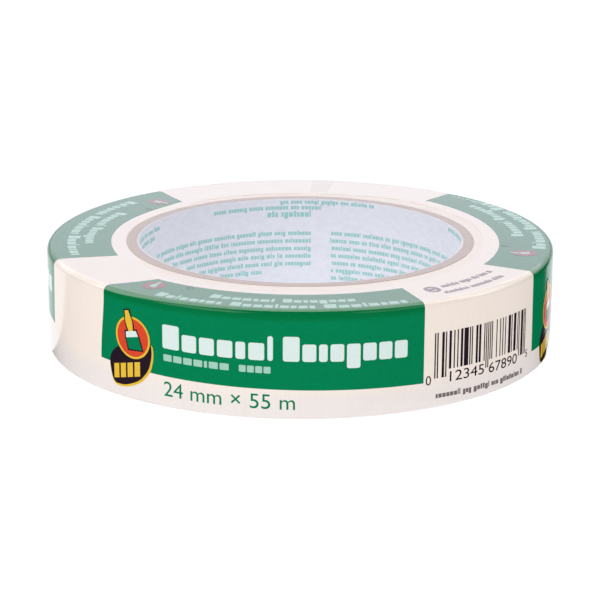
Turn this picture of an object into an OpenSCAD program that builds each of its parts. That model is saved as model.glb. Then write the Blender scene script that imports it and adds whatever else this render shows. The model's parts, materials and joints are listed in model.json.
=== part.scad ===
// Roll of masking tape: a printed paper liner and a five-ply paperboard core, one long strip of
// crepe paper tape wound on it, and a printed shrink film label that wraps the rim and both faces.
// The roll lies flat on z = 0 with its axis on +Z, and every size is in millimetres.

/* [Tape] */
// Width of the tape strip
tape_w = 23.88; // [18:0.01:50]
// Radius of the wound tape, measured over its free end
roll_r = 59.15; // [50:0.05:75]
// Thickness of one turn of tape
tape_t = 0.105; // [0.08:0.005:0.2]
// Direction of the free end, in degrees anticlockwise from +X
tape_end_angle = 74; // [0:1:359]
// Radius that the film has pressed on the upper edge of the outermost turns
upper_edge_r = 1.3; // [0.4:0.05:2]
// Radius that it has pressed on their lower edge, which rests on the floor
lower_edge_r = 0.4; // [0.3:0.05:2]

/* [Core] */
// Diameter of the bore
bore_d = 76.2; // [76.2:0.1:77]
// Thickness of the printed paper liner
liner_t = 0.15; // [0.1:0.01:0.3]
// Thickness of one paperboard ply
ply_t = 0.51; // [0.4:0.01:0.6]
// Width of the butt gap where the two ends of a ply meet
ply_gap = 0.3; // [0.2:0.05:1]
// Direction of the seam in the innermost ply, in degrees anticlockwise from +X
ply_seam_angle = 92; // [0:1:359]
// Turn from the seam in one ply to the seam in the next
ply_seam_step = 67; // [20:1:100]

/* [Label film] */
// Thickness of the film
film_t = 0.1; // [0.05:0.01:0.2]
// Radius of the opening that the film leaves on each face
film_opening_r = 43.8; // [42:0.1:50]

/* [Hidden] */
$fn = 180;

bore_r = bore_d / 2;
ply_inner_r = bore_r + liner_t;           // inside of the innermost ply
core_r = ply_inner_r + 5 * ply_t;         // outside of the core, where the tape starts
roll_h = tape_w + 2 * film_t;             // over the film on both faces, and the core's width
film_r = roll_r + film_t;                 // outside of the film
winding_r = roll_r - tape_t;              // largest radius under the last turn
arc_shift = tape_t / 4;                   // each half-arc's centre off the axis
crushed = 0.4;                            // share of an edge's radius that the last turn loses
end_gap = 0.4;                            // the free end stops this many degrees short of the step
overshoot = 1;                            // how far a cutter runs past what it cuts

// Half of a ring's section: a rectangle from the axis out to r, centred on mid-height, whose outer
// corners have the radius upper at the top and lower at the bottom
module rounded_section(r, h, upper, lower) {
    translate([0, (roll_h - h) / 2]) {
        translate([0, lower]) square([r - upper, h - lower]);
        translate([0, lower]) square([r, h - lower - upper]);
        square([r - lower, h - upper]);
        translate([r - upper, h - upper]) circle(r = upper);
        translate([r - lower, lower]) circle(r = lower);
    }
}

// Section of the wound strip, filled in to the axis, where it reaches out to r
module winding_section(r) {
    rounded_section(r, tape_w, upper_edge_r - tape_t, lower_edge_r - tape_t);
}

// Section of the last turn where it reaches out to r: one tape thickness, curled over at the edges
module turn_section(r) {
    intersection() {
        difference() {
            rounded_section(r, tape_w, upper_edge_r, lower_edge_r);
            winding_section(r - tape_t);
        }
        translate([0, film_t + crushed * lower_edge_r])
            square([r, tape_w - crushed * (lower_edge_r + upper_edge_r)]);
    }
}

module bore_cut(r) {
    translate([0, 0, -overshoot]) cylinder(r = r, h = roll_h + 2 * overshoot);
}

// A ring of paper or board as wide as the core
module core_ring(inner_r, thickness) {
    difference() {
        cylinder(r = inner_r + thickness, h = roll_h);
        bore_cut(inner_r);
    }
}

// Printed paper on the bore, glued to the innermost ply
module core_liner() {
    color("lavender") core_ring(bore_r, liner_t);
}

// One paperboard ply, counted from the bore outwards. Its ends meet in an open butt seam.
module core_ply(number) {
    inner_r = ply_inner_r + (number - 1) * ply_t;
    color("rosybrown") difference() {
        core_ring(inner_r, ply_t);
        rotate([0, 0, ply_seam_angle + (number - 1) * ply_seam_step])
            translate([inner_r - overshoot, -ply_gap / 2, -overshoot])
                cube([ply_t + 2 * overshoot, ply_gap, roll_h + 2 * overshoot]);
    }
}

// Two half-arcs make one turn of a spiral that gains one tape thickness and ends in a step at
// angle 0. The first half-arc sits arc_shift to one side of the axis and the second to the other.

// The wound strip below its last turn
module tape_winding() {
    color("antiquewhite") rotate([0, 0, tape_end_angle]) difference() {
        union() {
            translate([-arc_shift, 0, 0])
                rotate_extrude(angle = 180) winding_section(winding_r - 3 * arc_shift);
            translate([arc_shift, 0, 0]) rotate([0, 0, 180])
                rotate_extrude(angle = 180) winding_section(winding_r - arc_shift);
        }
        bore_cut(core_r);
    }
}

// The strip's last turn, from where it comes out of the winding to its free end
module tape_last_turn() {
    color("blanchedalmond") rotate([0, 0, tape_end_angle]) {
        translate([-arc_shift, 0, 0])
            rotate_extrude(angle = 180) turn_section(roll_r - 3 * arc_shift);
        translate([arc_shift, 0, 0]) rotate([0, 0, 180])
            rotate_extrude(angle = 180 - end_gap) turn_section(roll_r - arc_shift);
    }
}

// Section of the film: down the rim, round both edges and a little way in over both faces
module film_section() {
    difference() {
        rounded_section(film_r, roll_h, upper_edge_r + film_t, lower_edge_r + film_t);
        rounded_section(roll_r, tape_w, upper_edge_r, lower_edge_r);
        translate([-overshoot, -overshoot])
            square([film_opening_r + overshoot, roll_h + 2 * overshoot]);
    }
}

// Printed shrink film that holds the free end down
module label_film() {
    color("seagreen") rotate_extrude() film_section();
}

core_liner();
core_ply(1);  // core_ply_1
core_ply(2);  // core_ply_2
core_ply(3);  // core_ply_3
core_ply(4);  // core_ply_4
core_ply(5);  // core_ply_5
tape_winding();
tape_last_turn();
label_film();
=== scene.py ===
import json
import math
import random

import bmesh
import bpy
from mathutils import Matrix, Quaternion, Vector


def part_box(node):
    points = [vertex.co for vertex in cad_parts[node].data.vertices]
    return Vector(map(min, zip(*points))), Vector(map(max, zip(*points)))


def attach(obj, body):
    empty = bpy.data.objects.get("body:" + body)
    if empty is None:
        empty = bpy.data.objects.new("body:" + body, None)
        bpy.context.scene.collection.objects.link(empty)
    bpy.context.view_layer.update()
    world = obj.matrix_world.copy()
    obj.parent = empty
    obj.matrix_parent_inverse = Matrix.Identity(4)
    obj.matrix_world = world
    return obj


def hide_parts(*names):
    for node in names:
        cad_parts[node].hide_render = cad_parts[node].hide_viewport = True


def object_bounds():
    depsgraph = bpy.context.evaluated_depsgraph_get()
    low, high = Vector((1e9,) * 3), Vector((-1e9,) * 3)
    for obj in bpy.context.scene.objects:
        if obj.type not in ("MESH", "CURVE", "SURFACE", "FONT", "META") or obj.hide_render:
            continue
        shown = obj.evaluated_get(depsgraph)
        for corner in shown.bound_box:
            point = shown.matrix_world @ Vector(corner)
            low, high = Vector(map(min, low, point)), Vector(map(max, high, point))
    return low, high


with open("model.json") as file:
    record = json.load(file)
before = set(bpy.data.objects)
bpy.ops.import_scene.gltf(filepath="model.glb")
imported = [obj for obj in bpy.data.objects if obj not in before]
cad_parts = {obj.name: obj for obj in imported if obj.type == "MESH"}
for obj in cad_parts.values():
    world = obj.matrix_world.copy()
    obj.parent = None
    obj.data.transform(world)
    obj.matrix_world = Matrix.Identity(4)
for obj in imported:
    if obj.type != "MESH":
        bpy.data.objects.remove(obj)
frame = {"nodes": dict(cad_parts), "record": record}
cad_low, cad_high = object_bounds()

# Lengths in this file are in millimetres and angles in degrees, except where a name says
# otherwise. MM turns millimetres into Blender's metres.
MM = 0.001

# ---------------------------------------------------------------------------
# Driving sizes, from the frame
# ---------------------------------------------------------------------------
ROLL_R = cad_high.x / MM                          # outside of the film
ROLL_H = (cad_high.z - cad_low.z) / MM            # over both faces
CORE_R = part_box("core_ply_5")[1].x / MM           # outside of the core
BORE_R = frame["record"]["mounts"][0]["dims"]["r_mm"]

# Film: distance t runs up its section from the lower face, round the upper edge and in over
# the upper face. Azimuth runs round the roll from -Y towards +X. Both edge radii and the
# opening on the lower face are the CAD film's.
EDGE_R = 1.4                                      # rounded upper edge
LOW_R = 0.5                                       # sharper lower edge
LOW_OPENING_R = 43.8                              # the film's edge on the lower face
FILM_T = 0.08                                     # a little thinner than the CAD film
FLAT_R = ROLL_R - EDGE_R                          # radius where the upper face turns flat
LOW_FLAT_R = ROLL_R - LOW_R                       # and where the lower face does
ARC = EDGE_R * math.pi / 2                        # length of the section round the upper edge
LOW_ARC = LOW_R * math.pi / 2                     # and round the lower edge
SIDE_TOP = ROLL_H - EDGE_R                        # t where the upper edge starts to round
FACE_T = SIDE_TOP + ARC                           # t where the upper face's flat part starts
LOW_FACE_T = LOW_R - LOW_ARC                      # t where the lower face's flat part ends
DEG_PER_MM = 180 / math.pi / ROLL_R               # degrees of azimuth to a millimetre of rim

# Film's looseness: puckers on the upper face, and a lapped seam at the back
RIPPLE_H = 0.03                                   # height of the highest pucker
RIPPLE_REACH = 5                                  # how far out from the film's edge they fade
CORE_CLEARANCE = 0.25                             # between the core's rim and the film's edge
SEAM = (171.4, 177.0)                             # azimuths of the seam
SEAM_T = 0.04                                     # how much thicker the film is there

# The film's inner edge is pressed down on the tape: lifts of its outer and its inner face
EDGE_LIFTS = (-0.09, -0.099)
SEAM_EDGE_LIFTS = (-0.125, -0.129)                # the same, before the seam's own thickness
BESIDE_EDGE_LIFT = -0.03                          # of the outer face, one row out from the edge

# Print: azimuths of each green panel's left and right edges
PANELS = {"front": (-46.0, 26.55), "right": (61.4, 139.3), "left": (-141.6, -70.3)}
# For the same two edges, how far each leans at the panel's lower edge and at its inner one
LEANS = {
    "front": ((-1.25, 4.9), (0.0, 1.3)),
    "right": ((0.35, 0.0), (0.0, 0.0)),
    "left": ((0.0, 2.2), (-0.8, 1.8)),
}
LEAN_REACH = 25                                   # azimuth over which an edge's lean fades
ART_START = {"front": -45.6, "right": 65.5, "left": -141.6}    # where the layouts start
PRINT_LOW = 6.42                                  # t of the panels' lower edge
PRINT_INNER_R = 47.4                              # radius of their edge on the upper face
PRINT_HIGH = FACE_T + FLAT_R - PRINT_INNER_R      # t of that edge
CLEAR_MARGIN = 3.4                                # film left clear inside it
CLOSE_ROWS = (18.5, 27)                           # t where a panel needs rows close together
INK_T = 0.02                                      # thickness of one layer of ink
LAYER_PITCH = 0.9                                 # from layer to layer, in thicknesses of ink


def lerp(a, b, x):
    return a + (b - a) * x


def smooth(x):
    x = min(max(x, 0.0), 1.0)
    return x * x * (3 - 2 * x)


def bump_at(azimuth, centre, width, power=2):
    """1 at the centre, falling to 0 round it. A high power makes the top flat."""
    off = (azimuth - centre + 180) % 360 - 180
    return math.exp(-abs(off / width) ** power)


# ---------------------------------------------------------------------------
# The film's surface. The shifts of the print are millimetres along t.
# ---------------------------------------------------------------------------
def low_shift(azimuth):
    """The sleeve sits a little askew, so the print's lower edge climbs to the left."""
    sine = math.sin(math.radians(azimuth))
    return 0.13 - 0.83 * sine - 0.85 * sine**3 + 1.05 * bump_at(azimuth, -85, 25)


def high_shift(azimuth):
    """The film has shrunk unevenly over the upper face and pulled the print inwards."""
    return (
        3.05 * bump_at(azimuth, -99.5, 45, 6)
        + 0.75 * bump_at(azimuth, 90, 32)
        - 1.0 * bump_at(azimuth, 140, 18)
    )


def printed(azimuth, t):
    """Where the film holds the print that was laid out at t."""
    up = smooth((t - PRINT_LOW) / (PRINT_HIGH - PRINT_LOW))
    return t + lerp(low_shift(azimuth), high_shift(azimuth), up)


def opening_r(azimuth):
    """Radius of the film's edge on the upper face."""
    a = math.radians(azimuth)
    wave = 0.22 * math.sin(7 * a + 1) + 0.14 * math.sin(17 * a) + 0.08 * math.sin(41 * a + 2)
    r = PRINT_INNER_R - CLEAR_MARGIN - high_shift(azimuth) + wave
    return max(r, CORE_R + CORE_CLEARANCE + 0.2 * wave)


def ripple(azimuth, r):
    """How far the shrunk film stands off the face, in puckers that fade out away from its edge."""
    a = math.radians(azimuth)
    near = 1 - smooth((r - opening_r(azimuth)) / RIPPLE_REACH)
    pucker = 0.5 + 0.5 * math.sin(23 * a + 2 * math.sin(5 * a)) * math.sin(9 * a + 1)
    return RIPPLE_H * near * near * pucker


def film_point(azimuth, t, lift):
    """A point lift above the film's outer face, in metres."""
    if t > FACE_T:
        r, z, out, up = FLAT_R - (t - FACE_T), ROLL_H, 0.0, 1.0
        lift += ripple(azimuth, r)
    elif t > SIDE_TOP:
        a = (t - SIDE_TOP) / EDGE_R
        out, up = math.cos(a), math.sin(a)
        r, z = FLAT_R + EDGE_R * out, SIDE_TOP + EDGE_R * up
    elif t >= LOW_R:
        r, z, out, up = ROLL_R, t, 1.0, 0.0
    elif t > LOW_FACE_T:
        a = (LOW_R - t) / LOW_R
        out, up = math.cos(a), -math.sin(a)
        r, z = LOW_FLAT_R + LOW_R * out, LOW_R + LOW_R * up
    else:
        r, z, out, up = LOW_FLAT_R - (LOW_FACE_T - t), 0.0, 0.0, -1.0
    a = math.radians(azimuth)
    r += lift * out
    return Vector((r * math.sin(a), -r * math.cos(a), z + lift * up)) * MM


def bore_point(azimuth, z, lift):
    """A point lift in from the bore's wall, in metres."""
    a = math.radians(azimuth)
    r = BORE_R - lift
    return Vector((r * math.sin(a), -r * math.cos(a), z)) * MM


# ---------------------------------------------------------------------------
# Pieces
# ---------------------------------------------------------------------------
def add_piece(name, bm, material, slot, smooth_faces=True):
    """Makes the mesh a piece of the roll, which is one rigid body."""
    bmesh.ops.recalc_face_normals(bm, faces=bm.faces)
    mesh = bpy.data.meshes.new(name)
    bm.to_mesh(mesh)
    bm.free()
    mesh.materials.append(material)
    for polygon in mesh.polygons:
        polygon.use_smooth = smooth_faces
    piece = bpy.data.objects.new(name, mesh)
    bpy.context.scene.collection.objects.link(piece)
    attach(piece, "root")
    return piece


def sheet_grid(columns, rows, point, thickness, closed):
    """A sheet with two faces and edges all round, whose rims stay crisp.

    point(column, row, lift) places a corner. A closed sheet's last column joins its first.
    """
    bm = bmesh.new()
    layers = []
    for lift in (0.0, -thickness):
        layers.append([[bm.verts.new(point(c, r, lift)) for r in rows] for c in columns])
    count = len(columns)
    for i in range(count if closed else count - 1):
        j = (i + 1) % count
        for k in range(len(rows) - 1):
            for layer in layers:
                bm.faces.new((layer[i][k], layer[j][k], layer[j][k + 1], layer[i][k + 1]))
        for k in (0, len(rows) - 1):
            bm.faces.new((layers[0][i][k], layers[0][j][k], layers[1][j][k], layers[1][i][k]))
    if not closed:
        for i in (0, count - 1):
            for k in range(len(rows) - 1):
                bm.faces.new(
                    (layers[0][i][k], layers[0][i][k + 1], layers[1][i][k + 1], layers[1][i][k])
                )
    for layer in layers:
        for k in (0, len(rows) - 1):
            for i in range(count if closed else count - 1):
                bm.edges.get((layer[i][k], layer[(i + 1) % count][k])).smooth = False
        for i in () if closed else (0, count - 1):
            for k in range(len(rows) - 1):
                bm.edges.get((layer[i][k], layer[i][k + 1])).smooth = False
    return bm


def steps(start, end, size):
    """Evenly spaced values from start to end, no further apart than size."""
    count = max(1, math.ceil(abs(end - start) / size))
    return [lerp(start, end, i / count) for i in range(count + 1)]


# Stand-ins for letters: width, and how far below and above the line, where a capital is 1 high
BLOCKS = {
    "C": (1.2, 0.0, 1.0),
    "a": (1.0, 0.0, 0.7),
    "n": (0.62, 0.0, 0.7),
    "t": (0.62, 0.0, 0.9),
    "l": (0.34, 0.0, 1.0),
    "g": (1.0, -0.28, 0.7),
    "s": (1.0, 0.0, 1.0),
}
SMALL_SHAPES = "aaaaaaatnnlg"                     # what the rows of small words draw from
LETTER_GAP = 0.2                                  # in the same units as the blocks' widths
WORD_GAP = 0.7                                    # in the small rows, of a letter's pitch


class Artwork:
    """Flat shapes in one ink, laid out in (s, t) and then bent onto the roll.

    s runs to the right from the layout's start azimuth, measured at the rim. On the film t is
    the distance up its section, and in the bore it is the height. The level is the number of
    layers of ink below this one.
    """

    CELL = 1.0                                    # shapes are cut this fine before they bend
    ROUND_STEP = 10                               # degrees between the points of a circle
    CORNER_STEPS = 4                              # straight pieces in a rounded corner

    def __init__(self, name, ink, level=0, in_bore=False):
        self.name, self.level, self.in_bore = name, level, in_bore
        self.material, self.slot = INKS[ink]
        self.bm = bmesh.new()

    def polygon(self, start, points):
        verts = [self.bm.verts.new((start / DEG_PER_MM + x, y, 0)) for x, y in points]
        self.bm.faces.new(verts)

    def box(self, start, left, right, low, high, corner=0.0):
        corner = min(corner, (right - left) / 2, (high - low) / 2)
        if corner <= 0:
            points = [(left, low), (right, low), (right, high), (left, high)]
        else:
            points = []
            for x, y, turn in (
                (right - corner, low + corner, -90),
                (right - corner, high - corner, 0),
                (left + corner, high - corner, 90),
                (left + corner, low + corner, 180),
            ):
                for step in range(self.CORNER_STEPS + 1):
                    a = math.radians(turn + 90 / self.CORNER_STEPS * step)
                    points.append((x + corner * math.cos(a), y + corner * math.sin(a)))
        self.polygon(start, points)

    def ring(self, start, x, y, outer, inner):
        angles = [math.radians(a) for a in steps(0, 360, self.ROUND_STEP)]
        for a, b in zip(angles, angles[1:]):
            self.polygon(
                start,
                [
                    (x + r * math.cos(v), y + r * math.sin(v))
                    for r, v in ((inner, a), (outer, a), (outer, b), (inner, b))
                ],
            )

    def disc(self, start, x, y, r):
        angles = [math.radians(a) for a in range(0, 360, self.ROUND_STEP)]
        self.polygon(start, [(x + r * math.cos(a), y + r * math.sin(a)) for a in angles])

    def figures(self, start, left, base, height, text, width=None):
        """Figures and units in Blender's own plain face, stretched to the width if one is given."""
        curve = bpy.data.curves.new("figures", "FONT")
        curve.body, curve.resolution_u = text, 4
        holder = bpy.data.objects.new("figures", curve)
        bpy.context.scene.collection.objects.link(holder)
        mesh = bpy.data.meshes.new_from_object(
            holder.evaluated_get(bpy.context.evaluated_depsgraph_get())
        )
        low = min(v.co.x for v in mesh.vertices)
        high = max(v.co.x for v in mesh.vertices)
        top = max(v.co.y for v in mesh.vertices)
        tall = height / top
        wide = tall if width is None else width / (high - low)
        verts = [
            self.bm.verts.new(
                (start / DEG_PER_MM + left + (v.co.x - low) * wide, base + v.co.y * tall, 0)
            )
            for v in mesh.vertices
        ]
        for polygon in mesh.polygons:
            self.bm.faces.new([verts[i] for i in polygon.vertices])
        bpy.data.objects.remove(holder)
        bpy.data.curves.remove(curve)
        bpy.data.meshes.remove(mesh)

    def word(self, start, left, right, base, height, shapes, corner=0.0):
        """A word as plain blocks that say nothing, one for each letter of shapes."""
        blocks = sum(BLOCKS[kind][0] for kind in shapes)
        scale = (right - left) / (blocks + LETTER_GAP * (len(shapes) - 1))
        x = left
        for kind in shapes:
            width, low, high = BLOCKS[kind]
            self.box(
                start, x, x + width * scale, base + low * height, base + high * height, corner
            )
            x += (width + LETTER_GAP) * scale

    def words(self, start, base, height, corner, row):
        """A row of words, each given as (left, right, shapes)."""
        for left, right, shapes in row:
            self.word(start, left, right, base, height, shapes, corner)

    def text_row(self, start, left, right, base, height, pitch, dice):
        """A row of small words, of 2 to 9 letters each, that says nothing."""
        x = left
        while x < right - pitch:
            letters = min(dice.randint(2, 9), max(1, int((right - x) / pitch)))
            end = x + letters * pitch
            shapes = "".join(dice.choice(SMALL_SHAPES) for _ in range(letters))
            self.word(start, x, end - LETTER_GAP * pitch, base, height, shapes)
            x = end + WORD_GAP * pitch

    def make(self):
        """Cuts the flat shapes into cells, gives them a thickness and bends them on."""
        bm = self.bm
        xs = [v.co.x for v in bm.verts]
        for x in steps(min(xs), max(xs), self.CELL)[1:-1]:
            bmesh.ops.bisect_plane(
                bm, geom=bm.verts[:] + bm.edges[:] + bm.faces[:],
                plane_co=(x, 0, 0), plane_no=(1, 0, 0), dist=1e-6,
            )
        made = bmesh.ops.extrude_face_region(bm, geom=bm.faces[:])["geom"]
        for v in (g for g in made if isinstance(g, bmesh.types.BMVert)):
            v.co.z = INK_T
        for v in bm.verts:
            azimuth = v.co.x * DEG_PER_MM
            lift = v.co.z + self.level * INK_T * LAYER_PITCH
            if self.in_bore:
                v.co = bore_point(azimuth, v.co.y, lift)
            else:
                v.co = film_point(azimuth, printed(azimuth, v.co.y), lift)
        add_piece(self.name, bm, self.material, self.slot, smooth_faces=False)


# ---------------------------------------------------------------------------
# Materials
# ---------------------------------------------------------------------------
def linear(red, green, blue):
    """A colour given in 0-255 display values, as Blender's linear RGBA."""
    out = []
    for value in (red, green, blue):
        v = value / 255
        out.append(v / 12.92 if v <= 0.04045 else ((v + 0.055) / 1.055) ** 2.4)
    return (*out, 1.0)


class Shader:
    """A Principled material with helpers for its pattern nodes."""

    def __init__(self, name, **sockets):
        self.material = bpy.data.materials.new(name)
        self.material.use_nodes = True
        self.tree = self.material.node_tree
        self.bsdf = self.tree.nodes["Principled BSDF"]
        for socket, value in sockets.items():
            self.bsdf.inputs[socket.replace("_", " ")].default_value = value
        self.place = self.node("ShaderNodeTexCoord").outputs["Object"]

    def node(self, kind, **settings):
        made = self.tree.nodes.new(kind)
        for key, value in settings.items():
            setattr(made, key, value)
        return made

    def link(self, source, target):
        self.tree.links.new(source, target)

    def noise(self, cycles, detail, roughness=0.5):
        """Noise with that many cycles to a millimetre along X, Y and Z."""
        mapping = self.node("ShaderNodeMapping")
        mapping.inputs["Scale"].default_value = [per_mm / MM for per_mm in cycles]
        self.link(self.place, mapping.inputs["Vector"])
        made = self.node("ShaderNodeTexNoise")
        made.inputs["Scale"].default_value = 1.0
        made.inputs["Detail"].default_value = detail
        made.inputs["Roughness"].default_value = roughness
        self.link(mapping.outputs["Vector"], made.inputs["Vector"])
        return made.outputs["Fac"]

    def calculate(self, operation, a, b):
        made = self.node("ShaderNodeMath", operation=operation)
        for socket, value in zip(made.inputs, (a, b)):
            if isinstance(value, (int, float)):
                socket.default_value = value
            else:
                self.link(value, socket)
        return made.outputs[0]

    def weighted(self, *parts):
        """The sum of some values, each given with its weight."""
        total = None
        for value, weight in parts:
            share = self.calculate("MULTIPLY", value, weight)
            total = share if total is None else self.calculate("ADD", total, share)
        return total

    def spread(self, value, low, high):
        """The value with low to high stretched to 0 to 1 and the rest clamped."""
        made = self.node("ShaderNodeMapRange", interpolation_type="SMOOTHSTEP")
        made.inputs["From Min"].default_value = low
        made.inputs["From Max"].default_value = high
        self.link(value, made.inputs["Value"])
        return made.outputs["Result"]

    def blend(self, factor, a, b):
        """Colour a where the factor is 0 and b where it is 1."""
        made = self.node("ShaderNodeMix", data_type="RGBA")
        self.link(factor, made.inputs[0])
        for socket, value in ((made.inputs[6], a), (made.inputs[7], b)):
            if isinstance(value, tuple):
                socket.default_value = value
            else:
                self.link(value, socket)
        return made.outputs[2]

    def radius(self):
        """Distance from the roll's axis, in millimetres."""
        split = self.node("ShaderNodeSeparateXYZ")
        self.link(self.place, split.inputs[0])
        squares = self.calculate(
            "ADD",
            self.calculate("POWER", split.outputs["X"], 2.0),
            self.calculate("POWER", split.outputs["Y"], 2.0),
        )
        return self.calculate("DIVIDE", self.calculate("SQRT", squares, 0.0), MM)

    def rings(self, per_mm, detail):
        """Noise that changes only with the radius, as the edges of turns and plies do."""
        made = self.node("ShaderNodeTexNoise", noise_dimensions="1D")
        made.inputs["Scale"].default_value = per_mm
        made.inputs["Detail"].default_value = detail
        self.link(self.radius(), made.inputs["W"])
        return made.outputs["Fac"]

    def height(self):
        """Height over the floor, in millimetres."""
        split = self.node("ShaderNodeSeparateXYZ")
        self.link(self.place, split.inputs[0])
        return self.calculate("DIVIDE", split.outputs["Z"], MM)

    def colour(self, socket):
        self.link(socket, self.bsdf.inputs["Base Color"])

    def paint_shade_below(self, low, high, tint):
        """Painted shade: multiplies the base colour by the tint below low, and by less of it up to
        high.
        """
        base = self.bsdf.inputs["Base Color"]
        made = self.node("ShaderNodeMix", data_type="RGBA", blend_type="MULTIPLY")
        factor = self.calculate("SUBTRACT", 1.0, self.spread(self.height(), low, high))
        self.link(factor, made.inputs[0])
        self.link(base.links[0].from_socket, made.inputs[6])
        made.inputs[7].default_value = tint
        self.link(made.outputs[2], base)

    def bump(self, height, distance):
        """Relief, distance in millimetres."""
        made = self.node("ShaderNodeBump")
        made.inputs["Strength"].default_value = 1.0
        made.inputs["Distance"].default_value = distance * MM
        self.link(height, made.inputs["Height"])
        self.link(made.outputs["Normal"], self.bsdf.inputs["Normal"])


# Patterns, in cycles to a millimetre along X, Y and Z. The creases run across the strip, which
# is along Z.
CREASES = (1.9, 1.9, 0.14)
BLOTCHES = (0.12, 0.12, 0.12)
MOTTLE = (1.2, 1.2, 1.2)
FIBRES = (2.2, 2.2, 2.2)
CLOUDS = (0.5, 0.5, 0.9)

# Finishes: of the film and the print on it, and of the print on the liner
GLOSS = {"Roughness": 0.14, "IOR": 1.3}
PAPER = {"Roughness": 0.7, "IOR": 1.45}


def crepe_pattern(shader, light, dark):
    """Colours crepe paper tape and returns its relief: creases, and the edges of the turns."""
    creases = shader.noise(CREASES, detail=3)
    turns = shader.rings(4.5, detail=2)
    blotches = shader.noise(BLOTCHES, detail=2)
    tone = shader.weighted((creases, 0.35), (turns, 0.4), (blotches, 0.25))
    shader.colour(shader.blend(shader.spread(tone, 0.32, 0.68), dark, light))
    return shader.weighted((creases, 0.6), (turns, 0.4))


def tape_material():
    shader = Shader("crepe_tape", Roughness=0.25, IOR=1.3)
    relief = crepe_pattern(shader, linear(248, 233, 219), linear(242, 224, 209))
    shader.bump(relief, 0.03)
    return shader.material


def film_material(name, light, dark):
    """Tape seen through clear film, with painted shade that makes it a little darker and cooler low
    on the roll's side.
    """
    shader = Shader(name, **GLOSS)
    relief = crepe_pattern(shader, light, dark)
    # painted shade: darker and cooler below 3 mm over the floor, fading out by 8 mm
    shader.paint_shade_below(3.0, 8.0, (0.93, 0.97, 1.03, 1))
    shader.bump(relief, 0.004)
    return shader.material


def ink_mottle(shader):
    """The faint mottle of a printed film, from 0 to 1."""
    return shader.spread(shader.noise(MOTTLE, detail=3), 0.35, 0.65)


def ink_relief(shader):
    """The tape's creases, which show a little through the print."""
    shader.bump(shader.noise(CREASES, detail=3), 0.003)


def ink_material(name, colour, depth=0.06, finish=GLOSS):
    """One ink, with spots that are darker by the share that depth gives."""
    shader = Shader(name, **finish)
    darker = tuple(c * (1 - depth) for c in colour[:3]) + (1.0,)
    shader.colour(shader.blend(ink_mottle(shader), darker, colour))
    ink_relief(shader)
    return shader.material


def green_material():
    """The panels' green, darker from 2.8 mm below the top up over the rounded edge and the upper
    face: painted shade, standing in for the dark band under the upper edge.
    """
    shader = Shader("ink_green", **GLOSS)
    # painted shade: the green turns darker from 2.8 mm below the top, fully so from 1.4 mm below it
    # and on the upper face
    edge = shader.spread(shader.height(), ROLL_H - 2 * EDGE_R, ROLL_H - EDGE_R)
    plain = shader.blend(ink_mottle(shader), linear(0, 128, 80), linear(0, 132, 83))
    shader.colour(shader.blend(edge, plain, linear(0, 118, 64)))
    ink_relief(shader)
    return shader.material


def board_material():
    """Grey-brown paperboard: matted fibres, and rings of grain that follow the plies."""
    shader = Shader("core_board", Roughness=0.9, IOR=1.4)
    fibres = shader.noise(FIBRES, detail=4, roughness=0.65)
    grain = shader.rings(5.0, detail=3)
    tone = shader.spread(shader.weighted((fibres, 0.6), (grain, 0.4)), 0.3, 0.7)
    shader.colour(shader.blend(tone, linear(198, 180, 176), linear(222, 206, 202)))
    shader.bump(fibres, 0.12)
    return shader.material


def liner_material():
    """Smooth bleached paper with a faint cloudiness."""
    shader = Shader("liner_paper", Roughness=0.6, IOR=1.45)
    clouds = shader.noise(CLOUDS, detail=5, roughness=0.6)
    tone = shader.spread(clouds, 0.3, 0.7)
    shader.colour(shader.blend(tone, linear(224, 224, 231), linear(231, 231, 238)))
    shader.bump(clouds, 0.02)
    return shader.material


tape_look = tape_material()
film_look = film_material("tape_under_film", linear(254, 240, 227), linear(250, 234, 220))
seam_look = film_material("tape_under_seam", linear(243, 231, 216), linear(239, 225, 209))
board_look = board_material()
liner_look = liner_material()

# Each ink's material, and the slot of the record that it belongs to
INKS = {
    "green": (green_material(), "print_green"),
    "white": (ink_material("ink_white", linear(226, 240, 232), 0.02), "print_white"),
    "pale": (ink_material("ink_pale", linear(168, 212, 192), 0.03), "print_white"),
    "dark": (ink_material("ink_dark", linear(40, 28, 40)), "print_dark"),
    "brown": (ink_material("ink_brown", linear(126, 112, 112)), "print_dark"),
    "grey": (ink_material("ink_grey", linear(136, 120, 122)), "print_grey"),
    "orange": (ink_material("ink_orange", linear(226, 76, 46)), "print_orange"),
    "yellow": (ink_material("ink_yellow", linear(240, 196, 60)), "print_yellow"),
    "rose": (ink_material("ink_rose", linear(150, 70, 66)), "print_orange"),
    "teal": (ink_material("ink_teal", linear(158, 206, 203), finish=PAPER), "print_teal"),
}

CAD_LOOKS = {
    "core_liner": liner_look,
    "tape_winding": tape_look,
    "tape_last_turn": tape_look,
    **{f"core_ply_{number}": board_look for number in range(1, 6)},
}
for node, look in CAD_LOOKS.items():
    frame["nodes"][node].material_slots[0].material = look


# ---------------------------------------------------------------------------
# The film sleeve and its seam
# ---------------------------------------------------------------------------
def section_rows(azimuth):
    """Distances t across the film's section, from its edge on the lower face to the upper.

    They are close together round both edges of the roll.
    """
    lower_edge = LOW_FACE_T - (LOW_FLAT_R - LOW_OPENING_R)
    upper_edge = FACE_T + FLAT_R - opening_r(azimuth)
    rows = steps(lower_edge, LOW_FACE_T, 2.5)[:-1]
    rows += steps(LOW_FACE_T, LOW_R, LOW_ARC / 6)[:-1]
    rows += steps(LOW_R, SIDE_TOP, 3)[:-1]
    rows += steps(SIDE_TOP, FACE_T, ARC / 8)[:-1]
    rows += [lerp(FACE_T, upper_edge, i / 16) for i in range(17)]
    return rows


ROWS = range(len(section_rows(0)))                # there are as many at every azimuth
COLUMN_STEP = 0.75                                # azimuth between columns
SEAM_STEP = 0.7                                   # and between the seam's


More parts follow.
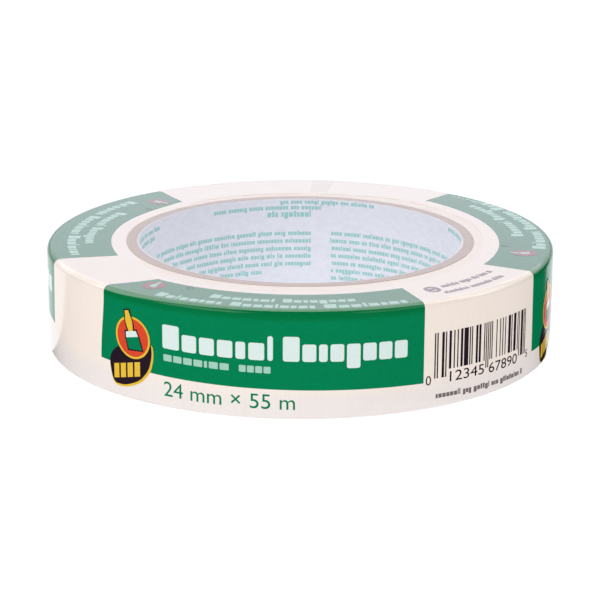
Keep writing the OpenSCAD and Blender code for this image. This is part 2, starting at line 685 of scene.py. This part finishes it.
def film_sleeve():
    def point(azimuth, row, lift):
        outer = lift == 0
        if row == ROWS[-1]:
            lift = EDGE_LIFTS[0] if outer else EDGE_LIFTS[1]
        elif row == ROWS[-2] and outer:
            lift = BESIDE_EDGE_LIFT
        return film_point(azimuth, section_rows(azimuth)[row], lift)

    columns = steps(-180, 180, COLUMN_STEP)[:-1]
    bm = sheet_grid(columns, ROWS, point, FILM_T, closed=True)
    sleeve = add_piece("label_film_sleeve", bm, film_look, "label_film")
    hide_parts("label_film")


def film_seam():
    def point(azimuth, row, lift):
        if row == ROWS[-1]:
            lift = SEAM_EDGE_LIFTS[0] if lift == 0 else SEAM_EDGE_LIFTS[1]
        return film_point(azimuth, section_rows(azimuth)[row], lift + SEAM_T)

    bm = sheet_grid(steps(*SEAM, SEAM_STEP), ROWS, point, SEAM_T, closed=False)
    add_piece("label_film_seam", bm, seam_look, "label_film")


def panel_rows():
    """Distances t across a panel, close together where its print may lie on the rounded edge."""
    near, far = CLOSE_ROWS
    side = steps(PRINT_LOW, near, 1.5)[:-1]
    edge = steps(near, far, 0.15)[:-1]
    return side + edge + steps(far, PRINT_HIGH, 0.7)


def green_panel(name):
    def point(azimuth, t, lift):
        low = 1 - smooth((t - PRINT_LOW) / (SIDE_TOP - PRINT_LOW))
        inner = max(0.0, (t - FACE_T) / (PRINT_HIGH - FACE_T))
        for edge, (low_lean, inner_lean) in zip(PANELS[name], LEANS[name]):
            near = 1 - smooth(abs(azimuth - edge) / LEAN_REACH)
            azimuth += near * (low_lean * low + inner_lean * inner)
        return film_point(azimuth, printed(azimuth, t), lift + INK_T)

    columns = steps(*PANELS[name], COLUMN_STEP)
    bm = sheet_grid(columns, panel_rows(), point, INK_T, closed=False)
    add_piece("print_panel_" + name, bm, *INKS["green"])


film_sleeve()
film_seam()
for panel in PANELS:
    green_panel(panel)

# ---------------------------------------------------------------------------
# Print on the panels: words as blocks, a plain badge, a size line
# ---------------------------------------------------------------------------
dice = random.Random(24)

# Rows of words: base, height and the corners' radius, then each word's left and right edges
# and its shapes
HEADING = (12.8, 5.5, 0.5, ((16.5, 41.5, "Caaanal"), (43.6, 70.6, "Canagaaa")))
SUBHEADING = (9.95, 1.5, 0.2, ((16.7, 32.0, "sssslss"), (34.2, 41.0, "ssss")))
FACE_INNER_ROW = (29.3, 2.7, 0.3, ((25.0, 41.0, "Caaanal"), (43.0, 60.5, "Canagaaa")))
FACE_OUTER_ROW = (
    25.2, 2.8, 0.3,
    ((13.0, 29.5, "Calaanan"), (31.5, 50.5, "Caaalanan"), (52.5, 71.5, "Caalanan")),
)
FACE_TURN = {"front": 0.0, "right": 2.5, "left": 0.0}    # azimuth that these two start later
FACE_MARK = (17.0, 33.9, 1.0, 0.65)               # centre, outer and inner radius


def panel_words():
    heading = Artwork("print_heading", "white", level=1)
    small = Artwork("print_small_words", "pale", level=1)
    marks = Artwork("print_marks", "dark", level=1)
    for panel, start in ART_START.items():
        face = start + FACE_TURN[panel]
        heading.words(start, *HEADING)
        small.words(start, *SUBHEADING)
        small.words(face, *FACE_INNER_ROW)
        small.words(face, *FACE_OUTER_ROW)
        marks.ring(start, *FACE_MARK)
    for art in (heading, small, marks):
        art.make()


panel_words()

# A round badge with a paint brush on it, over a plain tab. The brush's shapes are in badge radii
# from the badge's centre.
BRUSH_TILT = 14
BRUSH = {
    "handle": ((-0.11, 1.28), (0.11, 1.28), (0.2, 0.72), (0.13, 0.3), (-0.13, 0.3), (-0.2, 0.72)),
    "ferrule": ((-0.3, 0.3), (0.3, 0.3), (0.36, 0.02), (-0.36, 0.02)),
    "bristles": ((-0.36, 0.02), (0.36, 0.02), (0.42, -0.62), (-0.34, -0.5)),
}
BRUSH_OUTLINE = 0.07                              # its width, in the same unit
FIELD_R = 0.9                                     # the field's radius, in the same unit
BADGE = (8.35, 13.5, 4.9)                         # centre and radius
# The badges on the upper face: their radius, their centres and how much smaller the brush is
FACE_BADGE_R = 2.9
FACE_BADGE = {"front": (8.0, 31.1), "right": (10.7, 29.4), "left": (8.0, 31.1)}
FACE_BRUSH = 0.8

# The tab's corners, and the four bars on it, which climb to the right
TAB = (
    (0.9, 8.3), (2.2, 1.8), (6.1, 2.0), (10.3, 3.9),
    (12.9, 7.0), (13.7, 10.5), (13.4, 13.6), (8.3, 13.5),
)
BAR_LEFT, BAR_LOW = 2.7, 2.9
BAR_WIDTH, BAR_HEIGHT, BAR_PITCH = 1.55, 3.3, 2.05
BAR_SLOPE = 0.27

# Layers of ink, from the lowest up: the part of the badge, its ink and its level
BADGE_LAYERS = (
    ("tab_edge", "yellow", 1),
    ("tab", "dark", 2),
    ("rim", "yellow", 3),
    ("field", "orange", 4),
    ("outline", "dark", 5),
    ("handle", "yellow", 6),
    ("ferrule", "white", 6),
    ("bristles", "green", 6),
    ("face_field", "rose", 1),
    ("face_brush", "pale", 2),
)


def rounded(points):
    """The outline with its corners cut off three times, by a fifth of each side."""
    for _ in range(3):
        cut = []
        for (x0, y0), (x1, y1) in zip(points, [*points[1:], points[0]]):
            cut.append((lerp(x0, x1, 0.2), lerp(y0, y1, 0.2)))
            cut.append((lerp(x0, x1, 0.8), lerp(y0, y1, 0.8)))
        points = cut
    return points


def tilted(points, x, y, r, grow=0.0):
    """Points of a part of the brush, moved out from its middle by grow, tilted and placed."""
    cx = sum(p[0] for p in points) / len(points)
    cy = sum(p[1] for p in points) / len(points)
    c, s = math.cos(math.radians(BRUSH_TILT)), math.sin(math.radians(BRUSH_TILT))
    placed = []
    for u, v in points:
        u += math.copysign(grow, u - cx)
        v += math.copysign(grow, v - cy)
        placed.append((x + r * (c * u - s * v), y + r * (s * u + c * v)))
    return placed


def badge_tab(layers, start):
    """The dark tab with its yellow edge and four plain bars."""
    layers["tab"].polygon(start, rounded(TAB))
    # the edge is the same shape, a little wider and lower, so that it shows below and beside
    edge = [(x + 0.04 * (x - 2), y - 0.45) for x, y in TAB]
    layers["tab_edge"].polygon(start, rounded(edge))
    for number in range(4):
        left = BAR_LEFT + BAR_PITCH * number
        right = BAR_LEFT + BAR_WIDTH + BAR_PITCH * number
        low_left = BAR_LOW + BAR_SLOPE * (left - BAR_LEFT)
        low_right = BAR_LOW + BAR_SLOPE * (right - BAR_LEFT)
        bar = (
            (left, low_left), (right, low_right),
            (right, low_right + BAR_HEIGHT), (left, low_left + BAR_HEIGHT),
        )
        layers["rim"].polygon(start, bar)


def badge(layers, start, x, y, r):
    layers["rim"].disc(start, x, y, r)
    layers["field"].disc(start, x, y, r * FIELD_R)
    for part, points in BRUSH.items():
        layers["outline"].polygon(start, tilted(points, x, y, r, BRUSH_OUTLINE))
        layers[part].polygon(start, tilted(points, x, y, r))


def face_badge(layers, start, x, y, r):
    """The same without a rim or outlines, on the upper face."""
    layers["face_field"].disc(start, x, y, r)
    for points in BRUSH.values():
        layers["face_brush"].polygon(start, tilted(points, x, y, r * FACE_BRUSH))


def badges():
    layers = {part: Artwork("badge_" + part, ink, level) for part, ink, level in BADGE_LAYERS}
    for panel, start in ART_START.items():
        badge_tab(layers, start)
        badge(layers, start, *BADGE)
        face_badge(layers, start, *FACE_BADGE[panel], FACE_BADGE_R)
    for art in layers.values():
        art.make()


badges()

SIZE_LEFT, SIZE_HEIGHT, SIZE_WIDTH = 16.7, 3.3, 29.5
# Its base is higher on the right panel, where the sleeve sits lowest
SIZE_BASE = {"front": 2.0, "right": 2.9, "left": 2.0}


def size_line():
    line = Artwork("print_size_line", "green")
    for panel, start in ART_START.items():
        line.figures(start, SIZE_LEFT, SIZE_BASE[panel], SIZE_HEIGHT, "24 mm × 55 m", SIZE_WIDTH)
    line.make()


size_line()

# ---------------------------------------------------------------------------
# Print between the front and right panels: barcode and small rows
# ---------------------------------------------------------------------------
# The standard's pattern for each figure in the left half. The right half swaps light and dark.
LEFT_CODES = (
    "0001101", "0011001", "0010011", "0111101", "0100011",
    "0110001", "0101111", "0111011", "0110111", "0001011",
)
NUMBER = "012345678905"


def barcode_modules():
    """(first module, width, is long) for each bar of a 12-digit retail code."""
    left = "".join(LEFT_CODES[int(d)] for d in NUMBER[:6])
    swap = str.maketrans("01", "10")
    right = "".join(LEFT_CODES[int(d)].translate(swap) for d in NUMBER[6:])
    pattern = "101" + left + "01010" + right + "101"
    # the guards, and the first and last figures, have long bars
    long = {*range(0, 10), *range(45, 50), *range(85, 95)}
    bars, at = [], 0
    while at < len(pattern):
        width = 1
        while at + width < len(pattern) and pattern[at + width] == pattern[at]:
            width += 1
        if pattern[at] == "1":
            bars.append((at, width, at in long))
        at += width
    return bars


GAP_START = 26.2                                  # azimuth where these layouts start
MODULE = 0.315                                    # width of the code's narrowest bar
CODE_LEFT = 3.0
CODE_HIGH, CODE_LOW, CODE_LONG_LOW = 17.2, 8.8, 7.1
# The figures below the bars: left, base, height, text, and width where it is set
CODE_FIGURES = (
    (0.9, 5.8, 2.1, NUMBER[0]),
    (7.1, 5.9, 2.3, NUMBER[1:6], 10.0),
    (18.7, 5.7, 2.3, NUMBER[6:11], 10.6),
    (33.3, 6.0, 1.7, NUMBER[11]),
)
# Small rows, as left, right, base and height, and their pitch from letter to letter
MAKER_ROW = (3.5, 32.3, 2.6, 1.3)
CONTACT_ROWS = ((11.2, 32.0, 31.0, 1.9), (8.6, 29.4, 27.2, 1.7))
SMALL_PITCH = 0.85
CONTACT_RING = (7.7, 31.2, 2.1, 1.2)              # centre, outer and inner radius
CONTACT_BAR = (6.7, 8.7, 30.5, 31.9)              # left, right, low and high


def barcode():
    code = Artwork("print_barcode", "dark")
    for first, width, is_long in barcode_modules():
        left = CODE_LEFT + first * MODULE
        right = CODE_LEFT + (first + width) * MODULE
        code.box(GAP_START, left, right, CODE_LONG_LOW if is_long else CODE_LOW, CODE_HIGH)
    for figures in CODE_FIGURES:
        code.figures(GAP_START, *figures)
    code.make()


def maker_row():
    row = Artwork("print_maker_row", "brown")
    row.text_row(GAP_START, *MAKER_ROW, SMALL_PITCH, dice)
    row.make()


def contact_rows():
    """Two rows of words on the upper face, with a plain ring and bar beside them."""
    notes = Artwork("print_contact_rows", "grey")
    notes.ring(GAP_START, *CONTACT_RING)
    notes.box(GAP_START, *CONTACT_BAR)
    for row in CONTACT_ROWS:
        notes.text_row(GAP_START, *row, SMALL_PITCH, dice)
    notes.make()


barcode()
maker_row()
contact_rows()

# ---------------------------------------------------------------------------
# Print on the bore's liner
# ---------------------------------------------------------------------------
LINER_HEIGHT, LINER_PITCH = 1.3, 1.15             # of a letter, in most rows
# The block of rows on the left: azimuths where they start and end, z of the first, and spacing.
# The last row ends early.
LEFT_STARTS = (-113, -118, -124, -131, -138, -146)
LEFT_END, LEFT_LAST_END = 176, -165
LEFT_TOP, LEFT_SPACING = 14.6, 2.0
# The block on the right, whose rows end further round as they go down
RIGHT_ROWS = 7
RIGHT_START, RIGHT_END, RIGHT_END_STEP = 169, 108, 7
RIGHT_TOP, RIGHT_SPACING = 14.8, 1.95
# Rows with no neighbours: start, end, z, and letter height and pitch where they are set
LOOSE_ROWS = (
    (-172, 151, 22.8, 1.1),
    (-144, 172, 21.3),
    (-167, 176, 19.4, 1.7, 1.5),
    (-94, -116, 21.4),
    (-97, -112, 19.5),
    (112, 93, 22.4),
)


def liner_row(liner, start, end, z, height=LINER_HEIGHT, pitch=LINER_PITCH):
    """A row that runs clockwise from above, from azimuth start round to end."""
    length = (start - end) % 360 / DEG_PER_MM
    liner.text_row(end, 0, length, z, height, pitch, dice)


def liner_print():
    liner = Artwork("liner_print", "teal", in_bore=True)
    for row, start in enumerate(LEFT_STARTS):
        end = LEFT_LAST_END if row == len(LEFT_STARTS) - 1 else LEFT_END
        liner_row(liner, start, end, LEFT_TOP - LEFT_SPACING * row)
    for row in range(RIGHT_ROWS):
        end = RIGHT_END + RIGHT_END_STEP * row
        liner_row(liner, RIGHT_START, end, RIGHT_TOP - RIGHT_SPACING * row)
    for row in LOOSE_ROWS:
        liner_row(liner, *row)
    liner.make()


liner_print()

# ---------------------------------------------------------------------------
# Floor, light and camera
# ---------------------------------------------------------------------------
# Sizes and places in this part are in metres, and power is in watts. Radiance is in watts per
# square metre and steradian.
COOL = (1.0, 1.01, 1.15)                          # colour of the light from behind
# Softboxes in front: name, x and power
FRONT_SOFTBOXES = (("softbox_left", -1.2, 11.0), ("softbox_right", 1.2, 5.6))
BAND_WIDTH = 5.0                                  # of the ceiling's and back wall's light
ROOF_HEIGHT = 0.85
WALL_Y = 1.7
# Strips of ceiling: name, y where it starts and ends, radiance
ROOF = (
    ("roof_front", -0.17, 0.22, 9),
    ("roof_middle", 0.22, 0.64, 6.5),
    ("roof_back", 0.64, 1.9, 3.5),
)
# Bands of the back wall: name, height where it starts and ends, radiance
WALL = (
    ("wall_low", 0.0, 0.3, 0.7),
    ("wall_middle", 0.3, 0.55, 1.75),
    ("wall_high", 0.55, 0.84, 1.9),
)
FLOOR_SIDE = 6
MIRRORED_SIDE = 3
MIRRORED_TURN = -33                               # degrees
MIRRORED_CORNER = (0.024, -0.066)                 # its nearest corner, in front of the rim


def area_light(name, place, target, size, power, colour=(1, 1, 1)):
    """A softbox at a place, turned to its target."""
    data = bpy.data.lights.new(name, "AREA")
    data.shape, data.size, data.size_y = "RECTANGLE", *size
    data.energy, data.color = power, colour
    lamp = bpy.data.objects.new(name, data)
    bpy.context.scene.collection.objects.link(lamp)
    lamp.location = place
    lamp.rotation_mode = "QUATERNION"
    lamp.rotation_quaternion = (Vector(target) - Vector(place)).to_track_quat("-Z", "Y")
    return lamp


def reflected_light(name, place, target, depth, radiance, colour=(1, 1, 1)):
    """A wide band of even light that only reflections see."""
    power = radiance * math.pi * BAND_WIDTH * depth
    lamp = area_light(name, place, target, (BAND_WIDTH, depth), power, colour)
    lamp.visible_diffuse = False


def front_softboxes():
    for name, x, power in FRONT_SOFTBOXES:
        area_light(name, (x, -1.1, 1.1), (0, 0, 0), (1.2, 0.7), power)


def ceiling():
    """The ceiling, as the roll's glossy film mirrors it."""
    for name, near, far, radiance in ROOF:
        y = (near + far) / 2
        reflected_light(name, (0, y, ROOF_HEIGHT), (0, y, 0), far - near, radiance)


def softbox_behind():
    behind = area_light("softbox_behind", (0, 1.6, 0.5), (0, 0, 0.02), (1.4, 0.55), 4.6, COOL)
    behind.visible_glossy = False


def back_wall():
    """The back wall, as the roll's glossy film mirrors it."""
    for name, low, high, radiance in WALL:
        z = (low + high) / 2
        reflected_light(name, (0, WALL_Y, z), (0, 0, z), high - low, radiance, COOL)


def ambient_light():
    world = bpy.data.worlds.new("studio")
    bpy.context.scene.world = world
    world.use_nodes = True
    background = world.node_tree.nodes["Background"]
    background.inputs["Color"].default_value = (0.98, 0.99, 1.03, 1)
    background.inputs["Strength"].default_value = 0.47
    world.cycles_visibility.glossy = False


def floor_sheet(name, centre, turn, side):
    """A level, square and evenly bright white sheet just under the roll."""
    x, y = centre
    bpy.ops.mesh.primitive_plane_add(size=1, location=(x, y, -0.05 * MM), rotation=(0, 0, turn))
    sheet = bpy.context.object
    sheet.name = name
    sheet.scale = (side, side, 1)
    paint = Shader(name, Roughness=0.9)
    paint.bsdf.inputs["Base Color"].default_value = (0.12, 0.12, 0.12, 1)
    paint.bsdf.inputs["Emission Color"].default_value = (0.96, 0.98, 1.03, 1)
    paint.bsdf.inputs["Emission Strength"].default_value = 1.0
    paint.bsdf.inputs["Specular IOR Level"].default_value = 0.0
    sheet.data.materials.append(paint.material)
    return sheet


def floors():
    """The floor, and a second sheet for the part of it that the roll's sides mirror."""
    floor = floor_sheet("studio_floor", (0, 0), 0, FLOOR_SIDE)
    floor.visible_glossy = False
    turn, half = math.radians(MIRRORED_TURN), MIRRORED_SIDE / 2
    corner_x, corner_y = MIRRORED_CORNER
    x = corner_x + half * (-math.cos(turn) - math.sin(turn))
    y = corner_y + half * (-math.sin(turn) + math.cos(turn))
    mirrored = floor_sheet("studio_floor_mirrored", (x, y), turn, MIRRORED_SIDE)
    mirrored.visible_camera = mirrored.visible_diffuse = False


def camera():
    """Looks along +Y and down on the roll from half a metre."""
    distance = 500.85                             # in millimetres, to the middle of the roll
    elevation, roll = 16.29, -0.236
    drop = 3.15                                   # the roll sits this far above the frame's centre
    lens, sensor = 126.7, 36
    e = math.radians(elevation)
    back = Vector((0, -math.cos(e), math.sin(e)))
    up = Vector((0, math.sin(e), math.cos(e)))
    centre = Vector((0, 0, ROLL_H / 2))
    data = bpy.data.cameras.new("camera")
    data.lens, data.sensor_width = lens, sensor
    data.clip_start, data.clip_end = 0.01, 20
    eye = bpy.data.objects.new("camera", data)
    bpy.context.scene.collection.objects.link(eye)
    eye.location = (centre + back * distance) * MM
    aim = (centre - up * drop) * MM - eye.location
    eye.rotation_mode = "QUATERNION"
    tilt = Quaternion(aim.normalized(), math.radians(roll))
    eye.rotation_quaternion = tilt @ aim.to_track_quat("-Z", "Y")
    bpy.context.scene.camera = eye


floors()
ambient_light()
front_softboxes()
ceiling()
softbox_behind()
back_wall()
camera()
bpy.context.scene.view_settings.view_transform = "Standard"
